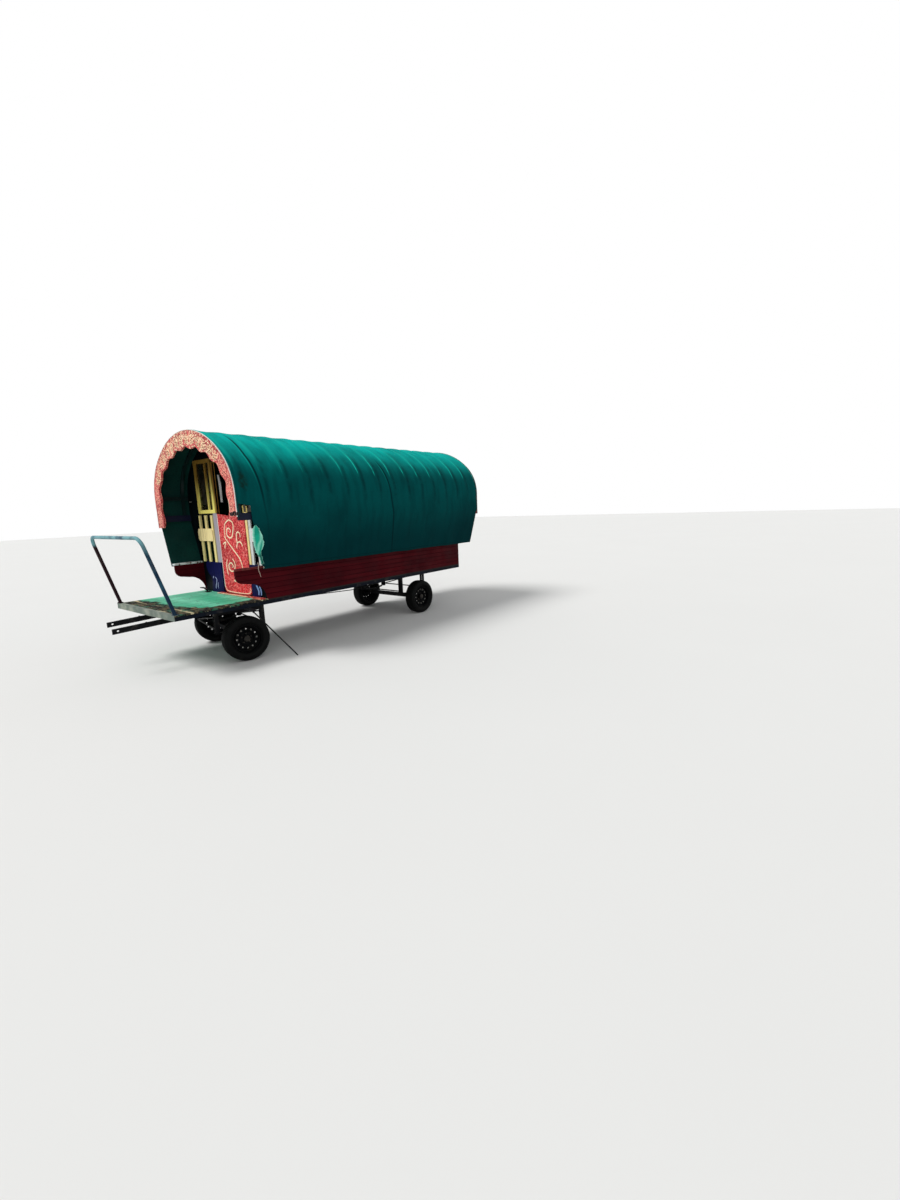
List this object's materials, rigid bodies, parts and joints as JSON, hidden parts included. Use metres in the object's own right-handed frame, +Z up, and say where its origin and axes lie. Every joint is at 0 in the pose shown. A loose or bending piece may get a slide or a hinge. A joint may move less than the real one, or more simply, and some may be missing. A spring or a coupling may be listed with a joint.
{
  "type": "vardo wagon",
  "caption": "Barrel-topped living wagon with canvas cover, scalloped crown, boarded sides, driving platform with handrail, steered front truck and four road wheels.",
  "frame": {"origin": "on the ground, under the middle of the wagon's length and width", "axes": "+Y towards the back of the wagon, +X towards the side that the picture shows, +Z up"},
  "size_m": [2.0389, 5.5856, 2.726],
  "materials": {
    "teal_canvas": "woven, weathered",
    "maroon_boards": "painted boards",
    "crown_paint": "painted, mottled",
    "door_paint": "painted with cream scrolls",
    "yellow_paint": "painted",
    "blue_paint": "painted",
    "pale_ledge": "painted, worn",
    "green_deck": "painted plywood, worn",
    "bare_wood": "bare boards",
    "dark_wall": "painted",
    "blue_steel": "painted, worn",
    "navy_steel": "painted",
    "black_steel": "painted, dusty",
    "grease_steel": "oily",
    "rim_paint": "painted",
    "tyre_rubber": "dusty rubber"
  },
  "bodies": {
    "root": {"chassis_side_rails": "navy_steel", "chassis_cross_members": "black_steel", "chassis_runners": "black_steel", "front_edge": "blue_steel", "platform_deck": "green_deck", "cabin_floor": "bare_wood", "handrail": "blue_steel", "side_boards_left": "maroon_boards", "side_boards_right": "maroon_boards", "rear_boards": "maroon_boards", "ledges": "pale_ledge", "side_wall_left": "dark_wall", "side_wall_right": "dark_wall", "waist_rails": "blue_paint", "roof_frame": "bare_wood", "canvas_cover": "teal_canvas", "crown_front": "crown_paint", "crown_rear": "crown_paint", "front_wall": "dark_wall", "front_windows": "yellow_paint", "pickets": "yellow_paint", "ogee_brackets": "blue_paint", "rear_wall": "dark_wall", "rear_window": "yellow_paint", "rear_axle": "black_steel", "rear_springs": "black_steel", "rear_hangers": "black_steel", "upper_ring": "grease_steel", "king_pin": "grease_steel", "brake_gear": "black_steel", "staff_bracket": "black_steel", "brake_pedal": "black_steel", "threshold": "crown_paint", "door_posts": "yellow_paint"},
    "front_truck": {"lower_ring": "grease_steel", "truck_frame": "black_steel", "drawbar_left": "black_steel", "drawbar_right": "black_steel", "front_axle": "black_steel", "front_springs": "black_steel", "front_hangers": "black_steel"},
    "half_door_leaf": {"half_door": "door_paint"},
    "drag_staff_rod": {"drag_staff": "black_steel"},
    "wheel_front_left": {"tyre_front_left": "tyre_rubber", "rim_front_left": "rim_paint"},
    "wheel_front_right": {"tyre_front_right": "tyre_rubber", "rim_front_right": "rim_paint"},
    "wheel_rear_left": {"tyre_rear_left": "tyre_rubber", "rim_rear_left": "rim_paint"},
    "wheel_rear_right": {"tyre_rear_right": "tyre_rubber", "rim_rear_right": "rim_paint"}
  },
  "joints": [
    {"name": "steering", "type": "hinge", "parent": "root", "child": "front_truck", "pos_m": [0, -1.482, 0.6307], "axis": [0, 0, 1], "range_deg": [-37.5, 62.5]},
    {"name": "wheel_front_left_spin", "type": "hinge", "parent": "front_truck", "child": "wheel_front_left", "pos_m": [0.62727, -1.62106, 0.27], "axis": [0.9763, -0.2164, 0], "continuous": true},
    {"name": "wheel_front_right_spin", "type": "hinge", "parent": "front_truck", "child": "wheel_front_right", "pos_m": [-0.62727, -1.34294, 0.27], "axis": [0.9763, -0.2164, 0], "continuous": true},
    {"name": "wheel_rear_left_spin", "type": "hinge", "parent": "root", "child": "wheel_rear_left", "pos_m": [0.6425, 1.518, 0.27], "axis": [1, 0, 0], "continuous": true},
    {"name": "wheel_rear_right_spin", "type": "hinge", "parent": "root", "child": "wheel_rear_right", "pos_m": [-0.6425, 1.518, 0.27], "axis": [1, 0, 0], "continuous": true},
    {"name": "half_door_hinge", "type": "hinge", "parent": "root", "child": "half_door_leaf", "pos_m": [0.44, -1.3663, 1.215], "axis": [0, 0, 1], "range_deg": [0, 100]},
    {"name": "drag_staff_hinge", "type": "hinge", "parent": "root", "child": "drag_staff_rod", "pos_m": [0.905, -1.647, 0.622], "axis": [0.9762, 0, 0.2168], "range_deg": [0, 54]}
  ]
}
